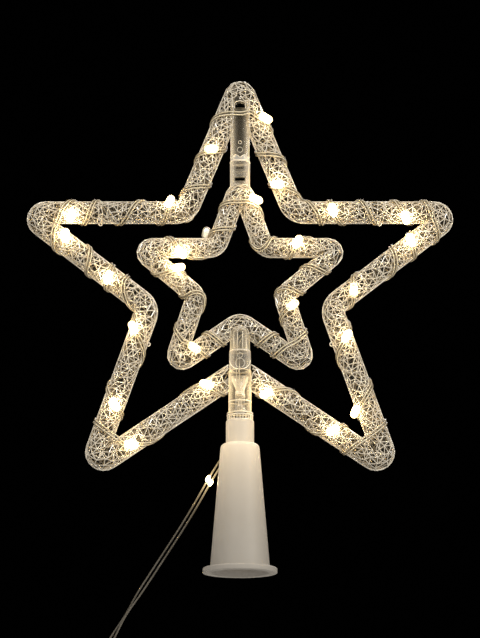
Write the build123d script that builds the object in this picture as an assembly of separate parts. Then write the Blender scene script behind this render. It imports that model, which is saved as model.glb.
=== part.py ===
from build123d import *
import math
import os

# Tree topper star: two clear five-point star frames wound with lights, on a white cone.
# All lengths in millimetres. The origin is the centre of the cone's underside, +Z is up and
# the star's front faces -Y.

# White cone that fits over the tree's tip
flange_diameter = 47.6
flange_thickness = 3.4
flange_edge_radius = 1.2
cone_base_diameter = 38.2
cone_top_diameter = 24.6
shoulder_height = 83.6
shoulder_radius = 3.0
neck_diameter = 18.1
neck_height = 15.0
neck_edge_radius = 0.8
cone_wall = 1.2

# Clear plug in the neck and the ball it carries
spigot_diameter = 14.8
spigot_wall = 1.5
spigot_length = 13.0
spigot_clearance = 0.08
collar_diameter = 16.8
collar_height = 5.3
collar_chamfer = 1.0
boss_base_diameter = 9.6
boss_top_diameter = 6.6
boss_height = 3.6
ball_diameter = 4.2
ball_rise = 3.6
ball_clearance = 0.08
post_diameter = 2.4
cup_diameter = 6.4
cup_rise = 10.0
cup_height = 4.0
web_thickness = 1.2
stem_diameter = 14.8
stem_wall = 1.5
swivel_gap = 0.3

# Outer star: centre lines of its tube. Its crotch is counted from the plug's collar, and the
# rest of it from the crotch
outer_tube_diameter = 14.2
crotch_rise = 28.3
outer_span = 282.4
outer_top_rise = 196.3
outer_bar_rise = 105.7
outer_notch_span = 71.2
outer_flank_span = 118.4
outer_flank_rise = 41.6
outer_foot_span = 193.0
outer_foot_drop = 65.6
outer_tip_radius = 4.6
outer_valley_radius = 9.9

# Inner star: shares of the outer star's widths, and of its height from crotch to top
inner_tube_diameter = 12.4
inner_span_share = 0.4731
inner_notch_share = 0.441
inner_flank_span_share = 0.4797
inner_foot_span_share = 0.4508
inner_top_share = 0.6592
inner_bar_share = 0.4162
inner_flank_share = 0.2517
inner_foot_share = 0.0092
inner_crotch_share = 0.163
inner_tip_radius = 3.3
inner_valley_radius = 6.8

shell_wall = 1.2
eyelet_diameter = 3.2
eyelet_hole_diameter = 1.4
eyelet_thickness = 1.2
bar_eyelet_share = 0.47
leg_eyelet_share = 0.24

# Clear tubes that join the two stars
bottom_socket_diameter = 14.0
bottom_spigot_diameter = 13.0
bottom_seam_share = 0.328
top_socket_diameter = 13.1
top_hanger_diameter = 12.5
top_seam_share = 0.287
link_bore_diameter = 9.6
peg_length = 13.0
latch_width = 5.1
latch_height = 4.0
latch_drop = 4.2
saddle_share = 0.55

# Light wire: its round envelope, wound on both stars
wire_diameter = 1.8
wire_lift = 0.5
outer_start_share = 0.88
outer_stop_share = 0.9
inner_start_share = 0.72
inner_stop_share = 0.74
valley_room_share = 0.4
rate_step_share = 0.01
loose_end_share = 1.1
end_cap_diameter = 3.2
end_cap_length = 6.0

# Each arm in turn, counted from its tip: share of its length where the wire crosses the tip,
# (share, turns) pairs that the winding passes, turns at the valley. The wire crosses the tips of
# the arms in back_arms behind the star and all other tips in front.
back_arms = (2, 3, 6, 7)
outer_arm_shares = [
    (0.23, ((0.377, 1.01), (0.800, 2.07)), 2.5),
    (0.23, ((0.369, 0.84), (0.795, 2.04)), 2.6),
    (0.16, ((0.354, 0.53), (0.836, 2.48)), 2.9),
    (0.16, ((0.314, 0.60), (0.760, 2.51)), 3.1),
    (0.25, ((0.340, 0.08), (0.802, 0.93)), 1.4),
    (0.25, ((0.549, 0.99),), 2.65),
    (0.17, ((0.287, 0.57), (0.905, 2.41)), 2.85),
    (0.17, ((0.312, 0.54), (0.692, 1.46)), 2.1),
    (0.24, ((0.385, 0.97), (0.841, 2.07)), 2.4),
    (0.24, ((0.792, 0.95),), 1.5),
]
inner_arm_shares = [
    (0.36, (), 1.5),
    (0.36, ((0.811, 1.05),), 1.75),
    (0.25, (), 1.75),
    (0.25, ((0.576, 0.47),), 1.6),
    (0.32, (), 0.9),
    (0.32, ((0.849, 1.25),), 1.45),
    (0.25, ((0.546, 0.60),), 1.05),
    (0.25, ((0.603, 0.60),), 1.6),
    (0.36, (), 0.9),
    (0.36, (), 1.5),
]

# Lamps: arm, share from its tip, turns
outer_lamp_shares = [
    (0, 0.377, 1.01), (0, 0.800, 2.07), (1, 0.369, 0.84), (1, 0.795, 2.04),
    (2, 0.354, 0.53), (2, 0.836, 2.48), (3, 0.314, 0.60), (3, 0.760, 2.51),
    (4, 0.340, 0.08), (4, 0.802, 0.93), (5, 0.549, 0.99), (6, 0.287, 0.57),
    (6, 0.905, 2.41), (7, 0.312, 0.54), (7, 0.692, 1.46), (8, 0.385, 0.97),
    (8, 0.841, 2.07), (9, 0.295, -0.04), (9, 0.792, 0.95),
]
inner_lamp_shares = [
    (1, 0.811, 1.05), (3, 0.576, 0.47), (4, 0.40, 0.08), (5, 0.849, 1.25),
    (6, 0.546, 0.60), (7, 0.603, 0.60), (9, 0.43, -0.06),
]
lamp_diameter = 4.8
lamp_length = 9.0
lamp_edge_radius = 2.1
lamp_seat = 1.8
lamp_seams = (90, 200, 45, 140, 290)
lamp_reach_shares = (1.0, 1.4, 0.8)
lamp_full_share = 0.97
lamp_least_share = 0.6

# Lead: splice behind the stem, free run, put-away coil and plug
splice_diameter = 6.4
splice_length = 12.0
splice_edge_radius = 1.0
splice_back = 11.8
splice_rise = 2.1
splice_pitch = 2.8
saddle_width = 4.0
lead_diameter = 3.6
# From the foot of the splice: sideways, back, up
lead_route = [
    (0.0, 0.0, 0.0),
    (0.0, 0.0, -14.0),
    (-16.0, 1.7, -37.0),
    (-32.3, 2.2, -66.9),
    (-52.0, 2.2, -97.5),
    (-72.0, 2.2, -128.5),
]
lead_last_run = 36.0
lead_end_slope = 60.9
lead_turn_share = 0.45
lead_lamp_share = 0.26
lead_lamp_seat = 2.6
coil_outer_radius = 26.1
coil_pitch = 4.6
coil_turns_in = 3.0
coil_turns_out = 2.5
tie_angle = 340.0
tie_width = 5.0
tie_thickness = 1.0
tie_squeeze = 0.15
tail_length = 10.0
relief_length = 12.0
relief_tip_diameter = 5.4
relief_root_diameter = 8.0
plug_length = 20.0
plug_diameter = 9.6
plug_edge_radius = 1.2
barrel_length = 9.5
barrel_diameter = 5.5
barrel_hole_diameter = 2.1

# How far a cutting shape runs past what it cuts
overrun = 1.0

front = Vector(0, -1, 0)
up = Vector(0, 0, 1)


def corners(span, bar, top, notch_span, flank_span, flank, foot_span, foot, crotch):
    """Ten corners of a star's centre line, from the crotch round by the right foot."""
    right = [
        Vector(foot_span / 2, 0, foot),
        Vector(flank_span / 2, 0, flank),
        Vector(span / 2, 0, bar),
        Vector(notch_span / 2, 0, bar),
    ]
    left = [Vector(-v.X, 0, v.Z) for v in reversed(right)]
    return [Vector(0, 0, crotch)] + right + [Vector(0, 0, top)] + left


def bends(points, tip_radius, valley_radius):
    """Rounding of each corner: radius, centre, start, directions in and out, turn."""
    rounded = []
    for i, here in enumerate(points):
        radius = tip_radius if i % 2 else valley_radius
        way_in = (here - points[i - 1]).normalized()
        way_out = (points[(i + 1) % len(points)] - here).normalized()
        turn = math.radians(way_in.get_angle(way_out))
        reach = radius * math.tan(turn / 2)
        centre = here + (way_out - way_in).normalized() * (radius / math.cos(turn / 2))
        rounded.append((radius, centre, here - way_in * reach, here + way_out * reach,
                        way_in, way_out, turn))
    return rounded


def rod(start, end, radius):
    """Round bar between two points."""
    axis = end - start
    bar = Cylinder(radius, axis.length, align=(Align.CENTER, Align.CENTER, Align.MIN))
    return Plane(start, z_dir=axis) * bar


def elbow(bend, radius):
    """Round bend of a tube; a bend tighter than the tube gets a blunt nose."""
    bend_radius, centre, start, _, way_in, way_out, turn = bend
    reach = bend_radius + radius + overrun
    section = Pos(bend_radius, 0) * Circle(radius)
    section &= Rectangle(reach, 2 * reach, align=(Align.MIN, Align.CENTER))
    section = Plane(centre, x_dir=start - centre, z_dir=way_in) * section
    return revolve(section, Axis(centre, way_in.cross(way_out)), math.degrees(turn))


def star_body(rounded, radius):
    """Solid star of round tube."""
    pieces = [elbow(bend, radius) for bend in rounded]
    for i, bend in enumerate(rounded):
        pieces.append(rod(bend[3], rounded[(i + 1) % len(rounded)][2], radius))
    return pieces[0] + pieces[1:]


def tube(diameter, bore, low, high):
    """Upright tube on the Z axis."""
    wall = Circle(diameter / 2) - Circle(bore / 2)
    return extrude(Plane.XY.offset(low) * wall, high - low)


neck_top = shoulder_height + neck_height
collar_top = neck_top + collar_height
outer_crotch = collar_top + crotch_rise
inner_crotch = outer_crotch + outer_top_rise * inner_crotch_share
outer_points = corners(outer_span, outer_crotch + outer_bar_rise, outer_crotch + outer_top_rise,
                       outer_notch_span, outer_flank_span, outer_crotch + outer_flank_rise,
                       outer_foot_span, outer_crotch - outer_foot_drop, outer_crotch)
inner_points = corners(outer_span * inner_span_share,
                       outer_crotch + outer_top_rise * inner_bar_share,
                       outer_crotch + outer_top_rise * inner_top_share,
                       outer_notch_span * inner_notch_share,
                       outer_flank_span * inner_flank_span_share,
                       outer_crotch + outer_top_rise * inner_flank_share,
                       outer_foot_span * inner_foot_span_share,
                       outer_crotch + outer_top_rise * inner_foot_share,
                       inner_crotch)
outer_bends = bends(outer_points, outer_tip_radius, outer_valley_radius)
inner_bends = bends(inner_points, inner_tip_radius, inner_valley_radius)
outer_radius = outer_tube_diameter / 2
inner_radius = inner_tube_diameter / 2
nodes = {}

# Star shells: hollow tube halves that meet on the middle plane
outer_solid = star_body(outer_bends, outer_radius)
inner_solid = star_body(inner_bends, inner_radius)
outer_shell = outer_solid - star_body(outer_bends, outer_radius - shell_wall)
inner_shell = inner_solid - star_body(inner_bends, inner_radius - shell_wall)


# Small eyelets inside the outer star's bars and legs
def eyelet(arm_from, arm_to, share):
    """Ring with a hole on the inner side of an arm, on the front half."""
    way = (arm_to - arm_from).normalized()
    outward = Vector(-way.Z, 0, way.X)
    inward = outward if outward.dot(middle - arm_from) > 0 else outward * -1
    seat = arm_from + (arm_to - arm_from) * share + inward * (outer_radius + eyelet_hole_diameter / 2)
    ring = Cylinder(eyelet_diameter / 2, eyelet_thickness, align=(Align.CENTER, Align.CENTER, Align.MIN))
    hole = Cylinder(eyelet_hole_diameter / 2, eyelet_thickness * 2 + overrun)
    return Plane(seat, z_dir=front) * ring, Plane(seat, z_dir=front) * hole


middle = (outer_points[0] + outer_points[5]) * 0.5
front_half = split(outer_shell, Plane.XZ, keep=Keep.TOP)
for tip, valley, share in [(3, 4, bar_eyelet_share), (7, 6, bar_eyelet_share),
                           (2, 1, leg_eyelet_share), (8, 9, leg_eyelet_share)]:
    ring, hole = eyelet(outer_points[tip], outer_points[valley], share)
    front_half = front_half + (ring - outer_solid) - hole
nodes["outer_star_front"] = front_half
nodes["outer_star_back"] = split(outer_shell, Plane.XZ, keep=Keep.BOTTOM)
nodes["inner_star_front"] = split(inner_shell, Plane.XZ, keep=Keep.TOP)
nodes["inner_star_back"] = split(inner_shell, Plane.XZ, keep=Keep.BOTTOM)

# Cone: flange, taper and neck turned as one thin-walled moulding
bore_radius = spigot_diameter / 2 + spigot_clearance
taper = (cone_base_diameter - cone_top_diameter) / 2 / (shoulder_height - flange_thickness)
mouth_radius = cone_base_diameter / 2 + taper * flange_thickness - cone_wall
roof_height = shoulder_height - cone_wall
roof_radius = cone_top_diameter / 2 + taper * cone_wall - cone_wall
profile = Polyline(
    (mouth_radius, 0),
    (flange_diameter / 2, 0),
    (flange_diameter / 2, flange_thickness),
    (cone_base_diameter / 2, flange_thickness),
    (cone_top_diameter / 2, shoulder_height),
    (neck_diameter / 2, shoulder_height),
    (neck_diameter / 2, neck_top),
    (bore_radius, neck_top),
    (bore_radius, roof_height),
    (roof_radius, roof_height),
    close=True,
)
wall_face = Plane.XZ * make_face(profile)
cone = revolve(wall_face, Axis.Z)


def ring_edges(solid, radius, height):
    """Circular edges of a turned solid at one radius and height."""
    near = overrun / 100
    return [e for e in solid.edges().filter_by(GeomType.CIRCLE)
            if abs(e.radius - radius) < near and abs(e.arc_center.Z - height) < near]


cone = fillet(ring_edges(cone, flange_diameter / 2, 0)
              + ring_edges(cone, flange_diameter / 2, flange_thickness), flange_edge_radius)
cone = fillet(ring_edges(cone, cone_top_diameter / 2, shoulder_height), shoulder_radius)
cone = fillet(ring_edges(cone, neck_diameter / 2, neck_top), neck_edge_radius)
nodes["topper_cone"] = cone

# Plug: spigot in the neck, collar on its rim, boss with the ball's socket
ball_centre = Vector(0, 0, collar_top + ball_rise)
collar = extrude(Plane.XY.offset(neck_top) * Circle(collar_diameter / 2), collar_height)
collar = chamfer(collar.edges(), collar_chamfer)
boss = Cone(boss_base_diameter / 2, boss_top_diameter / 2, boss_height,
            align=(Align.CENTER, Align.CENTER, Align.MIN))
socket = Pos(ball_centre) * Sphere(ball_diameter / 2 + ball_clearance)
spigot = tube(spigot_diameter, spigot_diameter - 2 * spigot_wall, neck_top - spigot_length, neck_top)
nodes["stem_plug"] = collar + Pos(0, 0, collar_top) * boss + spigot - socket

# Stem: tube up to the outer star, with the ball pin held by two crossed webs
stem_foot = collar_top + swivel_gap
stem_top = outer_crotch - outer_radius * saddle_share
stem_bore = stem_diameter - 2 * stem_wall
nodes["stem_tube"] = tube(stem_diameter, stem_bore, stem_foot, stem_top) - outer_solid
cup_foot = collar_top + cup_rise
cup = extrude(Plane.XY.offset(cup_foot) * Circle(cup_diameter / 2), cup_height)
webs = Plane.XY.offset(cup_foot) * (Rectangle(2 * stem_bore, web_thickness)
                                    + Rectangle(web_thickness, 2 * stem_bore))
webs = extrude(webs, cup_height) & extrude(Plane.XY.offset(cup_foot) * Circle(stem_bore / 2), cup_height)
nodes["swivel_pin"] = (rod(ball_centre, Vector(0, 0, cup_foot), post_diameter / 2)
                       + Pos(ball_centre) * Sphere(ball_diameter / 2) + cup + webs)

# Link tubes between the stars, saddled on the star tubes, and the pegs that lock them
crotch_seat = outer_crotch + outer_radius * saddle_share
spigot_seat = inner_crotch - inner_radius * saddle_share
crown_seat = inner_bends[5][1].Z + inner_radius * saddle_share
hanger_seat = outer_bends[5][1].Z
bottom_seam = crotch_seat + (spigot_seat - crotch_seat) * bottom_seam_share
top_seam = crown_seat + (hanger_seat - crown_seat) * top_seam_share
latch = Box(latch_width, 2 * top_socket_diameter, latch_height)
latch = Pos(0, 0, top_seam - latch_drop) * latch
nodes["bottom_socket_tube"] = tube(bottom_socket_diameter, link_bore_diameter,
                                   crotch_seat, bottom_seam) - outer_solid
nodes["bottom_spigot_tube"] = tube(bottom_spigot_diameter, link_bore_diameter,
                                   bottom_seam, spigot_seat) - inner_solid
nodes["top_socket_tube"] = tube(top_socket_diameter, link_bore_diameter,
                                crown_seat, top_seam) - inner_solid - latch
nodes["top_hanger_tube"] = tube(top_hanger_diameter, link_bore_diameter,
                                top_seam, hanger_seat) - outer_solid
for name, seam in [("bottom_link_peg", bottom_seam), ("top_link_peg", top_seam)]:
    peg = Pos(0, 0, seam) * Cylinder(link_bore_diameter / 2, peg_length)
    nodes[name] = peg - outer_solid - inner_solid


# Windings
def biarc(start, start_way, end, end_way):
    """Two tangent arcs between two points with given directions."""
    span = end - start
    both = start_way + end_way
    a = 2 * (1 - start_way.dot(end_way))
    b = 2 * span.dot(both)
    c = -span.dot(span)
    reach = (-b + math.sqrt(b * b - 4 * a * c)) / (2 * a) if a > 1e-9 else -c / b
    knee = start + start_way * reach
    heel = end - end_way * reach
    mid = (knee + heel) * 0.5
    return [arc(start, mid, start_way), arc(mid, end, (heel - knee).normalized())]


def arc(start, end, way):
    """Arc, or straight line, that leaves a point in a given direction."""
    if way.cross((end - start).normalized()).length < 1e-6:
        return Line(start, end)
    return TangentArc(start, end, tangent=way)


def turns_table(arm_share):
    """(turns, share) pairs of one arm from its tip to its valley."""
    crossing, passed, last = arm_share
    return [(0, crossing)] + [(turns, share) for share, turns in passed] + [(last, 1)]


def share_at(table, turns):
    """Share along the arm, and its rate, where the winding has made this many turns."""
    for (low, near), (high, far) in zip(table, table[1:]):
        rate = (far - near) / (high - low)
        if turns <= high:
            break
    return near + (turns - low) * rate, rate


def centre_at(points, rounded, arm, share):
    """Centre line of an arm: place, direction away from the tip and outward direction."""
    tip = points[arm + 1 - arm % 2]
    corner = (arm + arm % 2) % len(points)
    valley = points[corner]
    radius, centre, _, _, _, _, turn = rounded[corner]
    way = (valley - tip).normalized()
    outward = Vector(way.Z, 0, -way.X) * (1 if arm % 2 else -1)
    left = (valley - tip).length * (1 - share)
    reach = radius * math.tan(turn / 2)
    if left >= reach:
        return valley - way * left, way, outward
    angle = turn / 2 * (1 - left / reach)
    spoke = outward * math.cos(angle) - way * math.sin(angle)
    bent = way * math.cos(angle) + outward * math.sin(angle)
    return centre - spoke * radius, bent, spoke


def winding_point(points, rounded, arm, share, turns, radius, rate=0):
    """Point of a winding round an arm, its direction away from the tip, and the way out."""
    place, way, outward = centre_at(points, rounded, arm, share)
    tip = points[arm + 1 - arm % 2]
    length = (points[(arm + arm % 2) % len(points)] - tip).length
    angle = 2 * math.pi * turns
    sense = 1
    if arm in back_arms:
        angle = math.pi - angle
        sense = -1
    around = front * math.cos(angle) + outward * math.sin(angle)
    turning = (outward * math.cos(angle) - front * math.sin(angle)) * sense
    slope = way * (length * rate) + turning * (2 * math.pi * radius)
    return place + around * radius, slope.normalized(), around


def winding(points, rounded, arm_shares, radius, feed, start_share, stop_share):
    """Edges of the unbroken path of one wire: the feed, then every arm in turn."""
    knots = list(feed)
    final = len(arm_shares) - 1
    for arm, arm_share in enumerate(arm_shares):
        table = turns_table(arm_share)
        last = table[-1][0]
        if arm == 0:
            table[-1] = (last, start_share)
        if arm == final:
            table[-1] = (last, stop_share)
        quarters = [k / 4 for k in range(math.ceil(4 * last - valley_room_share))] + [last]
        line = []
        for turns in quarters:
            share, rate = share_at(table, turns)
            after = share_at(table, turns + rate_step_share)[1]
            loose = arm in (0, final) and turns == last
            place, slope, _ = winding_point(points, rounded, arm, share, turns,
                                            radius * (loose_end_share if loose else 1),
                                            (rate + after) / 2)
            line.append((place, slope))
        if arm % 2 == 0:
            toward = [(place, slope * -1) for place, slope in reversed(line)]
            if arm == 0:
                knots.append((toward[0][0], rounded[0][5]))
            knots += toward[1:]
        else:
            here = knots[-1][0]
            knots.append(((here + line[0][0]) * 0.5, (line[0][0] - here).normalized()))
            if arm == final:
                line[-1] = (line[-1][0], rounded[0][4])
                line.append((line[-1][0] + rounded[0][4] * wire_diameter, rounded[0][4]))
            knots += line
    edges = []
    for (a, a_way), (b, b_way) in zip(knots, knots[1:]):
        edges += biarc(a, a_way, b, b_way)
    return edges


splice_foot = collar_top + splice_rise
splice_top = splice_foot + splice_length


def feed(side, rise):
    """Straight wire up from the splice, ahead of a winding."""
    foot = Vector(side * splice_pitch / 2, splice_back, splice_top)
    return [(foot, up), (foot + up * rise, up)]


wire_radius = wire_diameter / 2
outer_wind_radius = outer_radius + wire_lift + wire_radius
inner_wind_radius = inner_radius + wire_lift + wire_radius
inner_rise = inner_crotch - splice_top - inner_tube_diameter
outer_edges = winding(outer_points, outer_bends, outer_arm_shares, outer_wind_radius,
                      feed(1, wire_diameter), outer_start_share, outer_stop_share)
inner_edges = winding(inner_points, inner_bends, inner_arm_shares, inner_wind_radius,
                      feed(-1, inner_rise), inner_start_share, inner_stop_share)


def wire_tube(edges, radius):
    """Round tube along a chain of edges."""
    path = Wire(edges)
    section = Plane(path @ 0, z_dir=path % 0) * Circle(radius)
    return sweep(section, path=path)


def samples(edges, step):
    """Points, directions and lengths along a chain of edges."""
    places = []
    run = 0
    for edge in edges:
        count = max(2, math.ceil(edge.length / step))
        for k in range(count):
            places.append((edge @ (k / count), edge % (k / count), run + edge.length * k / count))
        run += edge.length
    return places


def least_gap(edges, diameter):
    """Least gap of a tube to itself, measured between points along it."""
    places = samples(edges, diameter)
    least = math.inf
    for i, (a, _, a_run) in enumerate(places):
        for b, _, b_run in places[i + 1:]:
            if b_run - a_run > math.pi * diameter:
                least = min(least, (a - b).length)
    return least - diameter


for name, edges in [("outer_light_wire", outer_edges), ("inner_light_wire", inner_edges)]:
    nodes[name] = wire_tube(edges, wire_radius)
    tight = min(e.radius for e in edges if e.geom_type == GeomType.CIRCLE)
    print(name, "least gap", round(least_gap(edges, wire_diameter), 2), "tightest bend", round(tight, 2))


# Lamps: clear capsules seated on the wire, along it
def lamp(place, way, outward, seat, wires):
    """Round-ended capsule beside a wire, hollowed where the wire runs.

    Its seam is turned, and a longer stretch of wire taken, until the hollow comes out."""
    body = Cylinder(lamp_diameter / 2, lamp_length)
    body = fillet(body.edges().filter_by(GeomType.CIRCLE), lamp_edge_radius)
    outward = (outward - way * outward.dot(way)).normalized()
    sideways = outward.cross(way)
    for wire in wires:
        for seam in lamp_seams:
            turn = math.radians(seam)
            plane = Plane(place + outward * seat, z_dir=way,
                          x_dir=outward * math.cos(turn) + sideways * math.sin(turn))
            seated = plane * body - wire
            left_share = seated.volume / body.volume
            if seated.is_valid and lamp_least_share < left_share < lamp_full_share:
                return seated
    return seated


def lamps(name, points, rounded, lamp_shares, edges, radius):
    """One lamp at each listed place, on the nearest point of the winding."""
    places = samples(edges, wire_radius)
    ends = [0]
    for edge in edges:
        ends.append(ends[-1] + edge.length)
    for number, (arm, share, turns) in enumerate(lamp_shares, 1):
        aim, _, _ = winding_point(points, rounded, arm, share, turns, radius)
        place, way, run = min(places, key=lambda spot: (spot[0] - aim).length)
        centre, _, _ = centre_at(points, rounded, arm, share)
        stretches = []
        for reach_share in lamp_reach_shares:
            reach = lamp_length * reach_share
            stretches.append(wire_tube([e for e, start, end in zip(edges, ends, ends[1:])
                                        if start < run + reach and end > run - reach], wire_radius))
        nodes[f"{name}_{number:02d}"] = lamp(place, way, place - centre, lamp_seat, stretches)


lamps("outer_lamp", outer_points, outer_bends, outer_lamp_shares, outer_edges, outer_wind_radius)
lamps("inner_lamp", inner_points, inner_bends, inner_lamp_shares, inner_edges, inner_wind_radius)

# Caps on the far ends of both wires
for name, edges in [("outer_wire_cap", outer_edges), ("inner_wire_cap", inner_edges)]:
    end = edges[-1] @ 1
    way = edges[-1] % 1
    cap = rod(end - way * wire_diameter, end - way * wire_diameter + way * end_cap_length,
              end_cap_diameter / 2)
    nodes[name] = cap - wire_tube(edges[-2:], wire_radius)

# Splice of the lead and both wires, on a saddle behind the stem
splice_seat = Vector(0, splice_back, splice_foot)
splice = Plane(splice_seat) * Cylinder(splice_diameter / 2, splice_length,
                                       align=(Align.CENTER, Align.CENTER, Align.MIN))
nodes["lead_splice"] = fillet(splice.edges().filter_by(GeomType.CIRCLE), splice_edge_radius)
saddle = Pos(0, splice_back / 2, splice_foot + splice_length / 2) * Box(
    saddle_width, splice_back, splice_length / 2)
stem_core = extrude(Plane.XY.offset(stem_foot) * Circle(stem_diameter / 2), splice_top - stem_foot)
nodes["splice_saddle"] = saddle - stem_core - nodes["lead_splice"]

# Free run of the lead, from the splice to the coil
slope = math.radians(lead_end_slope)
lead_way = Vector(-math.cos(slope), 0, -math.sin(slope))
route = [splice_seat + Vector(*point) for point in lead_route]
route.append(route[-1] + lead_way * lead_last_run)
lead_radii = []
for before, here, after in zip(route, route[1:], route[2:]):
    turn = math.radians((here - before).get_angle(after - here))
    run = min((here - before).length, (after - here).length)
    lead_radii.append(lead_turn_share * run / math.tan(turn / 2))
lead_path = FilletPolyline(*route, radius=lead_radii)
lead_edges = lead_path.edges()
lead_radius = lead_diameter / 2
nodes["lead_cord"] = sweep(Plane(lead_path @ 0, z_dir=lead_path % 0) * Circle(lead_radius), path=lead_path)
print("lead bends", [round(r, 1) for r in lead_radii], "run", round(lead_path.length, 1))
lamp_place = lead_path @ lead_lamp_share
lamp_way = lead_path % lead_lamp_share
nodes["lead_lamp"] = lamp(lamp_place, lamp_way, front, lead_lamp_seat, [nodes["lead_cord"]])

# Coil that takes up the spare lead: one layer winds in, the next winds out
coil_start = math.degrees(math.atan2(-lead_way.X, lead_way.Z))
coil_hub = route[-1] - Vector(math.cos(math.radians(coil_start)), 0,
                              math.sin(math.radians(coil_start))) * coil_outer_radius
coil_inner_radius = coil_outer_radius - coil_pitch * coil_turns_in


def coil_point(turns):
    """Place and direction on the coil after a number of turns."""
    angle = math.radians(coil_start) + 2 * math.pi * turns
    climb = min(max((turns - coil_turns_in) * 2, 0), 1)
    rise = coil_pitch * climb * climb * (3 - 2 * climb)
    rise_rate = coil_pitch * 12 * climb * (1 - climb)
    radius = coil_inner_radius
    rate = 0
    if turns < coil_turns_in:
        radius = coil_outer_radius - coil_pitch * turns
        rate = -coil_pitch
    if turns > coil_turns_in + 0.5:
        radius = coil_inner_radius + coil_pitch * (turns - coil_turns_in - 0.5)
        rate = coil_pitch
    if turns == 0:
        rate = 0
    spoke = Vector(math.cos(angle), 0, math.sin(angle))
    along = Vector(-math.sin(angle), 0, math.cos(angle))
    way = along * (2 * math.pi * radius) + spoke * rate - front * rise_rate
    return coil_hub + spoke * radius - front * rise, way.normalized()


coil_total = coil_turns_in + 0.5 + coil_turns_out
coil_knots = [coil_point(k / 4) for k in range(round(coil_total * 4) + 1)]
coil_tail = coil_knots[-1]
coil_knots.append((coil_tail[0] + coil_tail[1] * tail_length, coil_tail[1]))
coil_edges = []
for (a, a_way), (b, b_way) in zip(coil_knots, coil_knots[1:]):
    coil_edges += biarc(a, a_way, b, b_way)
nodes["lead_coil"] = wire_tube(coil_edges, lead_radius)
print("lead_coil least gap", round(least_gap(coil_edges, lead_diameter), 2))
print("lead length", round(lead_path.length + sum(e.length for e in coil_edges)))

# Tie round the coil
tie_spoke = Vector(math.cos(math.radians(tie_angle)), 0, math.sin(math.radians(tie_angle)))
tie_plane = Plane(coil_hub + tie_spoke * ((coil_outer_radius + coil_inner_radius) / 2)
                  - front * (coil_pitch / 2), x_dir=tie_spoke, z_dir=tie_spoke.cross(front))
bundle_width = coil_outer_radius - coil_inner_radius + lead_diameter - tie_squeeze
bundle_depth = coil_pitch + lead_diameter - 2 * tie_squeeze
band = Rectangle(bundle_width + 2 * tie_thickness, bundle_depth + 2 * tie_thickness)
band -= Rectangle(bundle_width, bundle_depth)
nodes["lead_tie"] = tie_plane * extrude(band, tie_width / 2, both=True)

# Plug at the lead's end
plug_way = coil_knots[-1][1]
relief_foot = coil_knots[-1][0]
plug_foot = relief_foot + plug_way * relief_length
barrel_foot = plug_foot + plug_way * plug_length
relief = Cone(relief_tip_diameter / 2, relief_root_diameter / 2, relief_length,
              align=(Align.CENTER, Align.CENTER, Align.MIN))
nodes["plug_relief"] = Plane(relief_foot, z_dir=plug_way) * relief
plug_body = rod(plug_foot, barrel_foot, plug_diameter / 2)
nodes["plug_body"] = fillet(plug_body.edges().filter_by(GeomType.CIRCLE), plug_edge_radius)
barrel_end = barrel_foot + plug_way * barrel_length
nodes["plug_barrel"] = (rod(barrel_foot, barrel_end, barrel_diameter / 2)
                        - rod(barrel_foot, barrel_end + plug_way * overrun, barrel_hole_diameter / 2))

os.makedirs("parts", exist_ok=True)
for name, node in nodes.items():
    export_step(node, f"parts/{name}.step")
    print(name, len(node.solids()), node.is_valid, round(node.volume, 1))
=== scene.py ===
import math
import random

import bmesh
import bpy
from mathutils import Matrix, Vector
from mathutils.kdtree import KDTree


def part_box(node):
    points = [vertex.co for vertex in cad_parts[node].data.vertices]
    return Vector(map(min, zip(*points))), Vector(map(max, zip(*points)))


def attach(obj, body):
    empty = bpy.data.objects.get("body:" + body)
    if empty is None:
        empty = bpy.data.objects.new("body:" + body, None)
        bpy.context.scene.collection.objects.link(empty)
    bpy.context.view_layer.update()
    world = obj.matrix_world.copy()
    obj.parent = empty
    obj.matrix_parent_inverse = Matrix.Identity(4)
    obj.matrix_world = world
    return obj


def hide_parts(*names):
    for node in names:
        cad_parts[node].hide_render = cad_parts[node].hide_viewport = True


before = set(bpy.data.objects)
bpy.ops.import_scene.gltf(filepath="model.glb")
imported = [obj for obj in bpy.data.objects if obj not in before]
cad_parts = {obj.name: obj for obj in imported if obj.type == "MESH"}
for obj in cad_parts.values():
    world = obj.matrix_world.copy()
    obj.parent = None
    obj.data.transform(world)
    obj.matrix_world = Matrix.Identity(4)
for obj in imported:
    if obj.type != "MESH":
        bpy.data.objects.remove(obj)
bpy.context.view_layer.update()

mm = 0.001
front = Vector((0, -1, 0))
up = Vector((0, 0, 1))
right = Vector((1, 0, 0))


# Finishes

def shader_of(made):
    """Main shader of a finish."""
    return made.node_tree.nodes["Principled BSDF"]


def set_values(made, values):
    """Sets named properties and inputs of a node."""
    for key, value in values.items():
        if hasattr(made, key):
            setattr(made, key, value)
        else:
            made.inputs[key.replace("_", " ")].default_value = value


def finish(name, colour, roughness, **sockets):
    """New finish with its constant values on the shader's own sockets."""
    made = bpy.data.materials.new(name)
    made.use_nodes = True
    set_values(shader_of(made), {"Base_Color": (*colour, 1), "Roughness": roughness, **sockets})
    return made


def node(owner, kind, **values):
    """New node of a finish, a world or a tree."""
    new = getattr(owner, "node_tree", owner).nodes.new(kind)
    set_values(new, values)
    return new


def join(start, end):
    """Link between two sockets of one tree."""
    start.id_data.links.new(start, end)


def worked(source, operation, value):
    """Number from a socket, worked on by a constant."""
    step = node(source.id_data, "ShaderNodeMath", operation=operation)
    step.inputs[1].default_value = value
    join(source, step.inputs[0])
    return step.outputs[0]


def speckle(made, scale, detail=3):
    """Fine random pattern on Object coordinates."""
    place = node(made, "ShaderNodeTexCoord")
    noise = node(made, "ShaderNodeTexNoise", Scale=scale, Detail=detail)
    join(place.outputs["Object"], noise.inputs["Vector"])
    return noise.outputs["Fac"]


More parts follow.
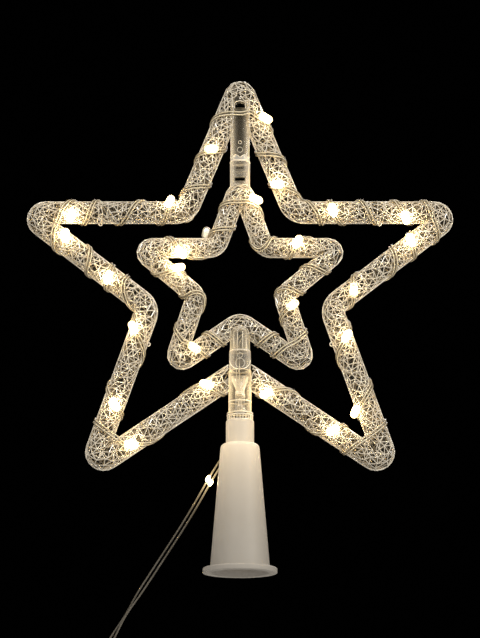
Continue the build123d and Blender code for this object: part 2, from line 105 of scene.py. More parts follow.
def stored(made, name):
    """Number from an attribute of the piece itself."""
    return node(made, "ShaderNodeAttribute", attribute_name=name).outputs["Fac"]


def mottle(made, scale, low, high):
    """Fine variation of a finish's roughness over the surface."""
    spread = node(made, "ShaderNodeMapRange", To_Min=low, To_Max=high)
    join(speckle(made, scale), spread.inputs["Value"])
    join(spread.outputs["Result"], shader_of(made).inputs["Roughness"])


def tint(made, scale, dark, light):
    """Fine variation of colour over the surface."""
    ramp = node(made, "ShaderNodeValToRGB")
    for stop, position, colour in zip(ramp.color_ramp.elements, (0.3, 0.7), (dark, light)):
        stop.position = position
        stop.color = (*colour, 1)
    join(speckle(made, scale), ramp.inputs["Fac"])
    join(ramp.outputs["Color"], shader_of(made).inputs["Base Color"])


def grain(made, scale, strength, distance):
    """Fine moulded grain as bump."""
    bump = node(made, "ShaderNodeBump", Strength=strength, Distance=distance)
    join(speckle(made, scale, 4), bump.inputs["Height"])
    join(bump.outputs["Normal"], shader_of(made).inputs["Normal"])


def clear_edge(made, face, edge, power):
    """Clear wall: see-through face on, dense edge on."""
    weight = node(made, "ShaderNodeLayerWeight", Blend=0.5)
    spread = node(made, "ShaderNodeMapRange", To_Min=face, To_Max=edge)
    join(worked(weight.outputs["Facing"], "POWER", power), spread.inputs["Value"])
    join(spread.outputs["Result"], shader_of(made).inputs["Alpha"])


def lit_by_lamps(made, strength, colour=(1.0, 0.71, 0.34)):
    """Painted lamp light: glow on a piece, as much as the lamps' light stored on it."""
    shader = shader_of(made)
    shader.inputs["Emission Color"].default_value = (*colour, 1)
    join(worked(stored(made, "lamp_light"), "MULTIPLY", strength), shader.inputs["Emission Strength"])


def misty_by_lamps(made, share, power):
    """Painted glow: a clear wall turns denser close to the lamps."""
    alpha = shader_of(made).inputs["Alpha"]
    clear = alpha.links[0].from_socket
    mist = node(made, "ShaderNodeMath", operation="MULTIPLY_ADD", use_clamp=True)
    mist.inputs[1].default_value = share
    join(worked(stored(made, "lamp_light"), "POWER", power), mist.inputs[0])
    join(clear, mist.inputs[2])
    join(mist.outputs["Value"], alpha)


def painted_inner_shade(made, shade):
    """Painted shade on the sides that face into a tube or hollow: their colour is multiplied by a shade."""
    colour = shader_of(made).inputs["Base Color"]
    source = colour.links[0].from_socket
    mix = node(made, "ShaderNodeMix", data_type="RGBA", blend_type="MULTIPLY")
    factor, first, second, result = mix.inputs[0], mix.inputs[6], mix.inputs[7], mix.outputs[2]
    second.default_value = (*shade, 1)
    join(stored(made, "inner_side"), factor)
    join(source, first)
    join(result, colour)


# Finishes below that call lit_by_lamps glow with painted lamp light.
strut_clear = finish("moulded_strut_clear", (0.93, 0.84, 0.68), 0.14, Specular_IOR_Level=0.7,
                     Transmission_Weight=0.15, IOR=1.6)
tint(strut_clear, 160, (0.84, 0.75, 0.60), (0.99, 0.92, 0.78))
mottle(strut_clear, 420, 0.06, 0.26)
# painted shade on the struts' sides that face into the tube
painted_inner_shade(strut_clear, (0.34, 0.30, 0.23))
lit_by_lamps(strut_clear, 1.0)

rim_clear = finish("moulded_rim_clear", (0.95, 0.88, 0.74), 0.12, Specular_IOR_Level=0.7)
tint(rim_clear, 120, (0.86, 0.78, 0.64), (0.98, 0.92, 0.8))
lit_by_lamps(rim_clear, 0.8)

skin_clear = finish("tube_wall_clear", (0.86, 0.78, 0.63), 0.12)
clear_edge(skin_clear, 0.015, 0.09, 3.0)
mottle(skin_clear, 260, 0.06, 0.22)
# painted glow: the wall turns denser and glows near the lamps
misty_by_lamps(skin_clear, 2.6, 3.4)
lit_by_lamps(skin_clear, 3.0, (1.0, 0.74, 0.38))

wall_clear = finish("link_wall_clear", (0.95, 0.87, 0.70), 0.07)
clear_edge(wall_clear, 0.02, 0.95, 1.5)
mottle(wall_clear, 180, 0.04, 0.14)
lit_by_lamps(wall_clear, 1.9)

wall_misty = finish("link_wall_misty", (0.92, 0.86, 0.75), 0.12)
clear_edge(wall_misty, 0.1, 0.95, 1.4)
mottle(wall_misty, 180, 0.08, 0.2)
lit_by_lamps(wall_misty, 1.2)

bore_clear = finish("link_bore_clear", (0.9, 0.84, 0.72), 0.1)
clear_edge(bore_clear, 0.0, 0.45, 3.0)
mottle(bore_clear, 180, 0.06, 0.16)

pin_clear = finish("swivel_pin_clear", (0.95, 0.91, 0.82), 0.08)
clear_edge(pin_clear, 0.22, 0.95, 1.4)
mottle(pin_clear, 200, 0.05, 0.15)
lit_by_lamps(pin_clear, 1.5)

# painted shade: the clear sheath turns dark towards its edges, for the dark outlines of the wires
sheath_clear = finish("wire_sheath_clear", (0.13, 0.095, 0.055), 0.35, Specular_IOR_Level=0.2)
clear_edge(sheath_clear, 0.0, 0.97, 1.1)
mottle(sheath_clear, 500, 0.3, 0.45)

strand_pale = finish("wire_strand_pale", (0.97, 0.86, 0.62), 0.22)
tint(strand_pale, 300, (0.90, 0.78, 0.54), (0.99, 0.90, 0.68))
lit_by_lamps(strand_pale, 0.5)

lead_sheath = finish("lead_sheath", (0.13, 0.115, 0.09), 0.3)
tint(lead_sheath, 90, (0.11, 0.095, 0.07), (0.15, 0.135, 0.11))
mottle(lead_sheath, 120, 0.22, 0.38)
lit_by_lamps(lead_sheath, 0.5)

lamp_clear = finish("lamp_capsule_clear", (0.95, 0.84, 0.6), 0.12,
                    Emission_Color=(1.0, 0.70, 0.28, 1), Emission_Strength=1.3)
clear_edge(lamp_clear, 0.3, 0.9, 1.2)
mottle(lamp_clear, 350, 0.06, 0.2)

lamp_glow = finish("lamp_glow", (1.0, 0.9, 0.7), 0.4,
                   Emission_Color=(1.0, 0.80, 0.48, 1), Emission_Strength=48.0)
mottle(lamp_glow, 400, 0.3, 0.5)
lamp_faint = finish("lamp_glow_faint", (0.95, 0.93, 0.88), 0.3,
                    Emission_Color=(1.0, 0.92, 0.8, 1), Emission_Strength=0.35)
mottle(lamp_faint, 400, 0.2, 0.4)

# The cone's colour is kept dark; painted lamp light stored on it below makes it lighter towards the top.
cone_white = finish("cone_white", (0.37, 0.345, 0.31), 0.5, Specular_IOR_Level=0.3)
tint(cone_white, 40, (0.355, 0.33, 0.295), (0.385, 0.36, 0.325))
mottle(cone_white, 300, 0.46, 0.56)
# painted shade inside the cone's hollow
painted_inner_shade(cone_white, (0.82, 0.82, 0.84))
lit_by_lamps(cone_white, 0.66, (1.0, 0.76, 0.46))
grain(cone_white, 1200, 0.05, 0.0002)

sleeve_clear = finish("sleeve_clear", (0.85, 0.82, 0.75), 0.18)
clear_edge(sleeve_clear, 0.45, 0.95, 1.5)
mottle(sleeve_clear, 300, 0.12, 0.26)

connector_black = finish("connector_black", (0.03, 0.03, 0.032), 0.55)
mottle(connector_black, 500, 0.45, 0.65)
grain(connector_black, 1500, 0.12, 0.0002)

barrel_steel = finish("barrel_steel", (0.72, 0.72, 0.7), 0.28, Metallic=1.0)
mottle(barrel_steel, 900, 0.2, 0.36)

tie_black = finish("tie_black", (0.04, 0.04, 0.042), 0.5)
mottle(tie_black, 600, 0.42, 0.6)


# Meshes

def place_object(name, mesh):
    """New object at the origin, its place in its mesh."""
    made = bpy.data.objects.new(name, mesh)
    bpy.context.scene.collection.objects.link(made)
    return made


def mesh_of(name, points, edges=(), faces=(), made_of=None, smooth=True):
    """Mesh from points in millimetres."""
    mesh = bpy.data.meshes.new(name)
    mesh.from_pydata([Vector(p) * mm for p in points], edges, faces)
    if made_of:
        mesh.materials.append(made_of)
    mesh.polygons.foreach_set("use_smooth", [smooth] * len(mesh.polygons))
    mesh.update()
    return mesh


def merged(name, meshes):
    """One object from several meshes, each with its own finishes."""
    whole = bmesh.new()
    finishes = []
    for mesh in meshes:
        start = len(whole.faces)
        slots = []
        for made in mesh.materials:
            if made not in finishes:
                finishes.append(made)
            slots.append(finishes.index(made))
        whole.from_mesh(mesh)
        whole.faces.ensure_lookup_table()
        for face in whole.faces[start:]:
            face.material_index = slots[min(face.material_index, len(slots) - 1)]
    result = bpy.data.meshes.new(name)
    whole.to_mesh(result)
    whole.free()
    for made in finishes:
        result.materials.append(made)
    for mesh in meshes:
        bpy.data.meshes.remove(mesh)
    return place_object(name, result)


def turned(profile, sides=64, made_of=None, close=True):
    """Round piece on the Z axis from a closed or open profile of (radius, height)."""
    points, faces = [], []
    for k in range(sides):
        angle = 2 * math.pi * k / sides
        points += [(r * math.cos(angle), r * math.sin(angle), z) for r, z in profile]
    count = len(profile)
    for k in range(sides):
        a, b = k * count, (k + 1) % sides * count
        for i in range(count if close else count - 1):
            j = (i + 1) % count
            faces.append((a + i, b + i, b + j, a + j))
    mesh = mesh_of("turned", points, (), faces, made_of)
    tidy = bmesh.new()
    tidy.from_mesh(mesh)
    bmesh.ops.remove_doubles(tidy, verts=tidy.verts, dist=1e-6)
    bmesh.ops.recalc_face_normals(tidy, faces=tidy.faces)
    tidy.to_mesh(mesh)
    tidy.free()
    return mesh


def mount(piece, body, slot, *nodes):
    """Puts a finished piece on its body in place of its nodes."""
    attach(piece, body)
    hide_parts(*nodes)


def rounded(profile, corners):
    """Profile with small arcs at some corners: {index: radius}."""
    line = []
    for i, (r, z) in enumerate(profile):
        if i not in corners:
            line.append((r, z))
            continue
        here = Vector((r, z))
        a = (Vector(profile[i - 1]) - here).normalized()
        b = (Vector(profile[(i + 1) % len(profile)]) - here).normalized()
        half = a.angle(b) / 2
        reach = corners[i] / math.tan(half)
        centre = here + (a + b).normalized() * (corners[i] / math.sin(half))
        first, last = here + a * reach - centre, here + b * reach - centre
        for k in range(7):
            spoke = first.lerp(last, k / 6).normalized()
            line.append(tuple(centre + spoke * corners[i]))
    return line


def stepped(profile, step):
    """Profile with its long stretches split into short ones."""
    line = []
    for (r, z), (r2, z2) in zip(profile, profile[1:] + profile[:1]):
        count = max(1, math.ceil(math.hypot(r2 - r, z2 - z) / step))
        line += [(r + (r2 - r) * k / count, z + (z2 - z) * k / count) for k in range(count)]
    return line


# Geometry Nodes

def new_tree(name, inputs):
    """Empty tree with named inputs: {name: kind}."""
    tree = bpy.data.node_groups.new(name, "GeometryNodeTree")
    for label, kind in {"Geometry": "Geometry", **inputs}.items():
        tree.interface.new_socket(label, in_out="INPUT", socket_type="NodeSocket" + kind)
    tree.interface.new_socket("Geometry", in_out="OUTPUT", socket_type="NodeSocketGeometry")
    return tree, tree.nodes.new("NodeGroupInput"), tree.nodes.new("NodeGroupOutput")


def evaluated(made):
    """Plain mesh of an object with its modifiers applied."""
    bpy.context.view_layer.update()
    return bpy.data.meshes.new_from_object(made.evaluated_get(bpy.context.evaluated_depsgraph_get()))


def discard(*helpers):
    """Removes helper objects and their meshes."""
    for made in helpers:
        mesh = made.data
        bpy.data.objects.remove(made)
        bpy.data.meshes.remove(mesh)


def made_by(tree, start, values):
    """Plain mesh that a tree makes from a starting mesh."""
    holder = place_object("holder", start)
    modifier = holder.modifiers.new("tree", "NODES")
    modifier.node_group = tree
    for item in tree.interface.items_tree:
        if item.in_out == "INPUT" and item.name in values:
            modifier[item.identifier] = values[item.name]
    result = evaluated(holder)
    discard(holder)
    return result


def chain(*nodes):
    """Passes the geometry of each node on to the next."""
    for start, end in zip(nodes, nodes[1:]):
        join(start.outputs[0], end.inputs[0])


def strut_tree():
    """Struts along the lines of a net whose points stray by chance in the surface."""
    tree, given, result = new_tree("struts_on_net", {
        "Strut radius": "Float", "Strut sides": "Int", "Shift": "Float", "Seed": "Int",
        "Smooth": "Bool", "Finish": "Material"})
    total = node(tree, "ShaderNodeVectorMath")
    for step, label in enumerate(("along", "across")):
        way = node(tree, "GeometryNodeInputNamedAttribute", data_type="FLOAT_VECTOR", Name=label)
        luck = node(tree, "FunctionNodeRandomValue")
        least, most, chance = luck.inputs[2], luck.inputs[3], luck.outputs[1]
        least.default_value, most.default_value = -1, 1
        join(worked(given.outputs["Seed"], "ADD", step), luck.inputs["Seed"])
        size = node(tree, "ShaderNodeMath", operation="MULTIPLY")
        join(chance, size.inputs[0])
        join(given.outputs["Shift"], size.inputs[1])
        moved = node(tree, "ShaderNodeVectorMath", operation="SCALE")
        join(way.outputs["Attribute"], moved.inputs[0])
        join(size.outputs[0], moved.inputs["Scale"])
        join(moved.outputs[0], total.inputs[step])
    shifted = node(tree, "GeometryNodeSetPosition")
    join(total.outputs[0], shifted.inputs["Offset"])
    ring = node(tree, "GeometryNodeCurvePrimitiveCircle")
    join(given.outputs["Strut sides"], ring.inputs["Resolution"])
    join(given.outputs["Strut radius"], ring.inputs["Radius"])
    tubes = node(tree, "GeometryNodeCurveToMesh", Fill_Caps=True)
    join(ring.outputs[0], tubes.inputs["Profile Curve"])
    shade = node(tree, "GeometryNodeSetShadeSmooth")
    join(given.outputs["Smooth"], shade.inputs["Shade Smooth"])
    dressed = node(tree, "GeometryNodeSetMaterial")
    join(given.outputs["Finish"], dressed.inputs["Material"])
    chain(given, shifted, node(tree, "GeometryNodeMeshToCurve"), tubes, shade,
          node(tree, "GeometryNodeRealizeInstances"), dressed, result)
    return tree


def copies_tree():
    """One copy of a piece at each point, turned by the point's own angles."""
    tree, given, result = new_tree("copies_at_points", {"Piece": "Object", "Finish": "Material"})
    piece = node(tree, "GeometryNodeObjectInfo")
    join(given.outputs["Piece"], piece.inputs["Object"])
    turn = node(tree, "GeometryNodeInputNamedAttribute", data_type="FLOAT_VECTOR", Name="turn")
    placed = node(tree, "GeometryNodeInstanceOnPoints")
    join(piece.outputs["Geometry"], placed.inputs["Instance"])
    join(turn.outputs["Attribute"], placed.inputs["Rotation"])
    dressed = node(tree, "GeometryNodeSetMaterial")
    join(given.outputs["Finish"], dressed.inputs["Material"])
    chain(given, placed, node(tree, "GeometryNodeRealizeInstances"), dressed, result)
    return tree


struts_on_net = strut_tree()
copies_at_points = copies_tree()


def struts(points, edges, radius, made_of, sides=5, shift=0.0, seed=1, smooth=False, ways=None):
    """Rods along the edges of a net, in millimetres."""
    start = mesh_of("net", points, edges)
    for label, k in (("along", 0), ("across", 1)):
        attribute = start.attributes.new(label, "FLOAT_VECTOR", "POINT")
        for i, pair in enumerate(ways or ()):
            attribute.data[i].vector = pair[k]
    return made_by(struts_on_net, start, {
        "Strut radius": radius * mm, "Strut sides": sides, "Shift": shift * mm,
        "Seed": seed, "Smooth": smooth, "Finish": made_of})


def chained(lines):
    """Points and edges of several polylines."""
    points, edges = [], []
    for line in lines:
        start = len(points)
        points += line
        edges += [(start + k, start + k + 1) for k in range(len(line) - 1)]
    return points, edges


def rods(lines, radius, made_of=rim_clear, sides=6):
    """Smooth round rods along several lines."""
    return struts(*chained(lines), radius, made_of, sides, smooth=True)


def copies(places, piece, made_of):
    """Copies of a small mesh at (place, direction, outward) places."""
    start = mesh_of("points", [place for place, _, _ in places])
    attribute = start.attributes.new("turn", "FLOAT_VECTOR", "POINT")
    for i, (_, way, outward) in enumerate(places):
        side = way.cross(outward).normalized()
        out = side.cross(way).normalized()
        attribute.data[i].vector = Matrix((out, side, way)).transposed().to_euler()
    holder = place_object("one_piece", piece)
    result = made_by(copies_at_points, start, {"Piece": holder, "Finish": made_of})
    discard(holder)
    return result


# Star frames, in millimetres

def this_side(point, limit, slack):
    """Whether a point lies on its own side of a tip's middle, or hardly past it."""
    return limit is None or (point - limit[0]).dot(limit[1]) > -slack


class Star:
    """Closed centre line of a star: corners from the crotch by the right foot, odd ones are tips."""

    def __init__(self, radius, top_radius, tip_radius, valley_radius, half, back_arms):
        self.radius = radius
        self.back_arms = back_arms
        points = [Vector((x, 0, z)) for x, z in half]
        self.points = points + [Vector((-p.x, 0, p.z)) for p in reversed(points[1:-1])]
        self.bends = []
        for i, here in enumerate(self.points):
            bend = top_radius if i == 5 else tip_radius if i % 2 else valley_radius
            way_in = (here - self.points[i - 1]).normalized()
            way_out = (self.points[(i + 1) % 10] - here).normalized()
            turn = way_in.angle(way_out)
            reach = bend * math.tan(turn / 2)
            centre = here + (way_out - way_in).normalized() * (bend / math.cos(turn / 2))
            self.bends.append((bend, centre, here - way_in * reach, here + way_out * reach,
                               way_in, way_out, turn))

    def rows(self, step):
        """Steps round the line: place, direction, outward, limit at a tip's middle."""
        found = []
        for i, (bend, centre, _, end, way_in, _, turn) in enumerate(self.bends):
            sense = 1 if i % 2 else -1
            count = max(3, round(bend * turn / step))
            for k in range(count):
                angle = sense * turn * k / count
                way = Vector((way_in.x * math.cos(angle) - way_in.z * math.sin(angle), 0,
                              way_in.x * math.sin(angle) + way_in.z * math.cos(angle)))
                out = Vector((way.z, 0, -way.x))
                found.append((centre + out * (bend * sense), way, out,
                              (centre, out) if sense > 0 else None))
            after = self.bends[(i + 1) % 10]
            corner = i if i % 2 else (i + 1) % 10
            tip_centre = self.bends[corner][1]
            axis = (tip_centre - self.points[corner]).normalized()
            side = Vector((axis.z, 0, -axis.x))
            run = after[2] - end
            if side.dot(end + run * 0.5 - tip_centre) < 0:
                side = -side
            count = max(2, round(run.length / step))
            way = run.normalized()
            for k in range(count):
                found.append((end + run * (k / count), way, Vector((way.z, 0, -way.x)), (tip_centre, side)))
        return found

    def net(self, cell):
        """Net of triangles over the tube: points, their ways, which count, and lines."""
        rows = self.rows(cell * 0.866)
        if len(rows) % 2:
            rows.pop()
        around = round(2 * math.pi * self.radius / cell)
        points, ways, kept, lines = [], [], [], []
        for i, (place, way, out, limit) in enumerate(rows):
            for j in range(around):
                angle = 2 * math.pi * (j + 0.5 * (i % 2)) / around
                point = place + (front * math.cos(angle) + out * math.sin(angle)) * self.radius
                points.append(point)
                ways.append((way, out * math.cos(angle) - front * math.sin(angle)))
                kept.append(this_side(point, limit, 0.4))
        for i in range(len(rows)):
            after = (i + 1) % len(rows)
            for j in range(around):
                here = i * around + j
                lines.append((here, i * around + (j + 1) % around))
                lines.append((here, after * around + j))
                lines.append((here, after * around + (j + (1 if i % 2 else -1)) % around))
        return points, ways, kept, lines

    def seam(self, side, lift, step=1.5):
        """Stretches of line along the tube's outer (1) or inner (-1) side."""
        stretches, line = [], []
        for place, _, out, limit in self.rows(step):
            point = place + out * (side * (self.radius + lift))
            if this_side(point, limit, 0.05):
                line.append(point)
            elif line:
                stretches.append(line)
                line = []
        if line:
            if stretches:
                stretches[0] = line + stretches[0]
            else:
                stretches.append(line + line[:1])
        return stretches

    def skin(self, radius, turn, made_of, links):
        """Smooth wall of half the tube, about an angle from its front."""
        points, faces, kept = [], [], []
        rows = self.rows(2.5)
        low, high, count = turn - math.pi / 2, turn + math.pi / 2, 13
        for place, _, out, limit in rows:
            for j in range(count):
                angle = low + (high - low) * j / (count - 1)
                point = place + (front * math.cos(angle) + out * math.sin(angle)) * radius
                points.append(point)
                kept.append(this_side(point, limit, 0.6) and not in_link(point, links))
        for i in range(len(rows)):
            after = (i + 1) % len(rows)
            for j in range(count - 1):
                quad = (i * count + j, i * count + j + 1, after * count + j + 1, after * count + j)
                if all(kept[k] for k in quad):
                    faces.append(quad)
        return mesh_of("skin", points, (), faces, made_of)


outer_half = [(0, 132.2), (96.5, 66.6), (59.2, 173.8), (141.2, 237.9), (35.6, 237.9), (0, 325.5)]
inner_half = [(0, 164.2), (43.5, 134.0), (28.4, 181.6), (66.8, 213.9), (15.7, 213.9), (0, 257.6)]
outer_star = Star(radius=7.1, top_radius=2.8, tip_radius=4.6, valley_radius=9.9, half=outer_half,
                  back_arms=())
inner_star = Star(radius=6.2, top_radius=3.0, tip_radius=3.3, valley_radius=6.8, half=inner_half,
                  back_arms=(2, 3, 6, 7))


def store(piece, name, values, where="POINT"):
    """Stores one number for each point or face of a piece."""
    piece.data.attributes.new(name, "FLOAT", where).data.foreach_set("value", values)


def finder(places):
    """Search tree over places."""
    tree = KDTree(len(places))
    for k, place in enumerate(places):
        tree.insert(place, k)
    tree.balance()
    return tree


def lamp_light(piece, seats, reach):
    """Stores how much light of the nearest lamps reaches each point of a piece, for the glow painted on it.
    """
    tree = finder([seat[0] for seat in seats])
    store(piece, "lamp_light", [
        sum(seats[k][3] * math.exp(-far / reach) for _, k, far in tree.find_n(spot.co / mm, 3))
        for spot in piece.data.vertices])


def inner_side(piece, star):
    """Stores which faces of a piece look into the tube, where shade is painted."""
    tree = finder([row[0] for row in star.rows(2.0)])
    values = []
    for face in piece.data.polygons:
        here = face.center / mm
        way_out = (here - tree.find(here)[0]).normalized()
        values.append(min(max(0.5 - 1.6 * face.normal.dot(way_out), 0.0), 1.0))
    store(piece, "inner_side", values, "FACE")


def ring_line(centre, across, upward, radius, count=14):
    """Closed ring of points."""
    return [centre + across * (radius * math.cos(2 * math.pi * k / count))
            + upward * (radius * math.sin(2 * math.pi * k / count)) for k in range(count + 1)]


def eyelets(star):
    """Small rings on the inner side of the bars and legs."""
    ring_radius, lift, forward = 1.15, 0.7, 0.6
    star_middle = Vector((0, 0, 230))
    rings = []
    for start, end, share in ((3, 4, 0.47), (7, 6, 0.47), (2, 1, 0.206), (8, 9, 0.206)):
        run = star.points[end] - star.points[start]
        across = Vector((-run.z, 0, run.x)).normalized()
        if across.dot(star_middle - star.points[start]) < 0:
            across = -across
        seat = star.points[start] + run * share + across * (star.radius + lift) + front * forward
        rings.append(ring_line(seat, right, up, ring_radius))
    return rings


def in_link(point, links):
    """Whether a point lies where a link tube passes the lattice."""
    return any(abs(point.x) < half and low < point.z < high for half, low, high in links)


def parted(lines, links):
    """Lines without the stretches that lie in a link tube."""
    left = []
    for line in lines:
        left.append([])
        for point in line:
            if in_link(point, links):
                left.append([])
            else:
                left[-1].append(point)
    return [piece for piece in left if len(piece) > 1]


lattice_gaps = 0.09  # share of the net's lines that are left out
lattice_shift = 0.36  # how far the net's points stray, in cells
lattice_reach = 6.4  # reach of the lamps' light in the lattice
skin_depth = 0.5  # how far the clear wall lies inside the lattice


def lattice(star, name, cell, strut, seed, links, rings, seats):
    """Front and back of a star: random lattice, clear wall and parting seam."""
    points, ways, kept, lines = star.net(cell)
    kept = [keep and not in_link(point, links) for keep, point in zip(kept, points)]
    luck = random.Random(seed)
    for half, sign in (("front", -1), ("back", 1)):
        order, edges = {}, []
        for a, b in lines:
            middle = (points[a] + points[b]) * 0.5
            if not (kept[a] and kept[b]) or luck.random() < lattice_gaps or in_link(middle, links):
                continue
            if (points[a].y + points[b].y) * sign <= -1e-9 * sign:
                continue
            edges.append(tuple(order.setdefault(k, len(order)) for k in (a, b)))
        net = struts([points[k] for k in order], edges, strut, strut_clear, 4,
                     cell * lattice_shift, seed, False, [ways[k] for k in order])
        turn = 0 if sign < 0 else math.pi
        skin = star.skin(star.radius - skin_depth, turn, skin_clear, links)
        seams = [[p + Vector((0, sign * 0.25, 0)) for p in line]
                 for side in (1, -1) for line in star.seam(side, 0.1)]
        meshes = [net, skin, rods(parted(seams, links), 0.36)]
        if rings and sign < 0:
            meshes.append(rods(rings, 0.45))
        piece = merged(f"{name}_star_{half}_lattice", meshes)
        lamp_light(piece, seats, lattice_reach)
        inner_side(piece, star)
        mount(piece, "star", "clear_lattice", f"{name}_star_{half}")


# Light wires: pairs wound on the stars

# Each arm: share along it where the wire crosses the tip, (share, turns) on the way, turns at its foot
outer_arms = [
    (0.23, ((0.377, 1.01), (0.800, 2.07)), 2.5), (0.23, ((0.369, 0.84), (0.795, 2.04)), 2.6),
    (0.16, ((0.354, 0.97), (0.490, 2.0), (0.836, 3.02)), 3.6),
    (0.16, ((0.314, 0.90), (0.760, 2.99), (0.854, 3.95)), 4.4),
    (0.25, ((0.340, 0.08), (0.802, 1.93)), 2.4), (0.25, ((0.549, 0.99),), 2.65),
    (0.235, ((0.301, 0.25), (0.371, 0.75), (0.452, 1.25), (0.595, 1.75), (0.732, 2.25), (0.850, 2.75),
            (0.905, 3.09)), 3.65), (0.235, ((0.524, 1.0), (0.692, 2.04), (0.795, 3.0)), 3.4),
    (0.24, ((0.385, 0.97), (0.841, 2.07)), 2.4), (0.24, ((0.792, 0.95),), 1.5),
]
inner_arms = [
    (0.36, (), 1.5), (0.36, ((0.811, 1.05),), 1.75), (0.25, (), 1.75), (0.25, ((0.576, 0.47),), 1.6),
    (0.32, (), 0.9), (0.32, ((0.849, 1.25),), 1.45), (0.25, ((0.546, 0.60),), 1.05),
    (0.25, ((0.603, 0.60),), 1.6), (0.36, (), 0.9), (0.36, (), 1.5),
]


def share_at(table, turns):
    """Share along an arm, and its rate, after a number of turns."""
    for (low, near), (high, far) in zip(table, table[1:]):
        rate = (far - near) / (high - low)
        if turns <= high:
            break
    return near + (turns - low) * rate, rate


def arm_centre(star, arm, share):
    """Place on an arm's line, direction away from the tip, outward direction."""
    tip = star.points[arm + 1 - arm % 2]
    corner = (arm + arm % 2) % 10
    valley = star.points[corner]
    bend, centre, _, _, _, _, turn = star.bends[corner]
    way = (valley - tip).normalized()
    out = Vector((way.z, 0, -way.x)) * (1 if arm % 2 else -1)
    left = (valley - tip).length * (1 - share)
    reach = bend * math.tan(turn / 2)
    if left >= reach:
        return valley - way * left, way, out
    angle = turn / 2 * (1 - left / reach)
    spoke = out * math.cos(angle) - way * math.sin(angle)
    return centre - spoke * bend, way * math.cos(angle) + out * math.sin(angle), spoke


def wound_point(star, arm, share, turns, radius, rate=0.0):
    """Point of a winding, its direction and the way out of the tube."""
    place, way, out = arm_centre(star, arm, share)
    length = (star.points[(arm + arm % 2) % 10] - star.points[arm + 1 - arm % 2]).length
    angle = 2 * math.pi * turns
    sense = 1
    if arm in star.back_arms:
        angle, sense = math.pi - angle, -1
    around = front * math.cos(angle) + out * math.sin(angle)
    turning = (out * math.cos(angle) - front * math.sin(angle)) * sense
    slope = way * (length * rate) + turning * (2 * math.pi * radius)
    return place + around * radius, slope.normalized(), around


def bow(start, way, end, count):
    """Points on the arc that leaves a point in a direction and reaches another."""
    chord = end - start
    across = chord - way * chord.dot(way)
    if across.length < chord.length * 0.002:
        return [start + chord * (k / count) for k in range(count)]
    across.normalize()
    angle = 2 * way.angle(chord)
    radius = chord.length / (2 * math.sin(angle / 2))
    return [start + way * (radius * math.sin(angle * k / count))
            + across * (radius * (1 - math.cos(angle * k / count))) for k in range(count)]


def double_bow(a, a_way, b, b_way, count):
    """Points on two tangent arcs between two points with given directions."""
    span = b - a
    both = a_way + b_way
    square = 2 * (1 - a_way.dot(b_way))
    half = 2 * span.dot(both)
    rest = -span.dot(span)
    reach = ((-half + math.sqrt(half * half - 4 * square * rest)) / (2 * square)
             if square > 1e-9 else -rest / half)
    knee, heel = a + a_way * reach, b - b_way * reach
    middle = (knee + heel) * 0.5
    return bow(a, a_way, middle, count) + bow(middle, (heel - knee).normalized(), b, count)


def wound_line(star, arms, radius, lead_in, start_share, stop_share):
    """Points of one wire and the way out of the tube at each."""
    knots = [(place, way, -front) for place, way in lead_in]
    for arm, (crossing, passed, last) in enumerate(arms):
        table = [(0, crossing)] + [(turns, share) for share, turns in passed] + [(last, 1)]
        if arm in (0, 9):
            table[-1] = (last, stop_share if arm else start_share)
        quarters = [k / 4 for k in range(math.ceil(4 * last - 0.4))] + [last]
        line = []
        for turns in quarters:
            share, rate = share_at(table, turns)
            after = share_at(table, turns + 0.01)[1]
            loose = 1.1 if arm in (0, 9) and turns == last else 1
            line.append(wound_point(star, arm, share, turns, radius * loose, (rate + after) / 2))
        if arm % 2 == 0:
            toward = [(place, -slope, out) for place, slope, out in reversed(line)]
            if arm == 0:
                knots.append((toward[0][0], star.bends[0][5], toward[0][2]))
            knots += toward[1:]
        else:
            here, _, out = knots[-1]
            knots.append(((here + line[0][0]) * 0.5, (line[0][0] - here).normalized(), out))
            if not star.back_arms:
                line[-1] = (line[-1][0], arm_centre(star, arm, 1)[1], line[-1][2])
            if arm == 9:
                line[-1] = (line[-1][0], star.bends[0][4], line[-1][2])
                line.append((line[-1][0] + star.bends[0][4] * 1.8, star.bends[0][4], line[-1][2]))
            knots += line
    points, outs = [], []
    for (a, a_way, a_out), (b, b_way, b_out) in zip(knots, knots[1:]):
        piece = double_bow(a, a_way, b, b_way, 6)
        points += piece
        outs += [a_out.lerp(b_out, k / len(piece)).normalized() for k in range(len(piece))]
    return points + [knots[-1][0]], outs + [knots[-1][2]]


def way_at(points, k):
    """Direction of a line at one of its points."""
    return (points[min(k + 1, len(points) - 1)] - points[max(k - 1, 0)]).normalized()


def side_lines(points, outs, spread):
    """Two lines beside a line, spread in the surface it lies on."""
    sides = [way_at(points, k).cross(out).normalized() * (spread / 2) for k, out in enumerate(outs)]
    return [[point + side * sign for point, side in zip(points, sides)] for sign in (1, -1)]


# Lamps that the photograph shows dimmer than the rest
lamp_levels = {"outer_06": 0.6, "outer_11": 0.5, "inner_01": 0.5, "inner_04": 0.1, "inner_07": 0.6}


def seat_on(points, name):
    """Middle of a lamp's node, nearest point of its line and the line's direction there."""
    low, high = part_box(name)
    place = (Vector(low) + Vector(high)) * (0.5 / mm)
    k = min(range(1, len(points) - 1), key=lambda i: (points[i] - place).length)
    return place, points[k], way_at(points, k)


def lamp_seats(star, name, count, points):
    """Each lamp's place, the wire's direction there, the way out of the tube, its level."""
    rows = star.rows(2.0)
    seats = []
    for number in range(1, count + 1):
        place, _, way = seat_on(points, f"{name}_lamp_{number:02d}")
        out = place - min((row[0] for row in rows), key=lambda spot: (spot - place).length)
        level = lamp_levels.get(f"{name}_{number:02d}", 1.0)
        seats.append((place, way, (out - way * out.dot(way)).normalized(), level))
    return seats


wire_spread = 1.9  # between the two strands of a light wire
sheath_radius, strand_radius = 0.72, 0.42
wire_reach = 7.0  # reach of the lamps' light in a wire


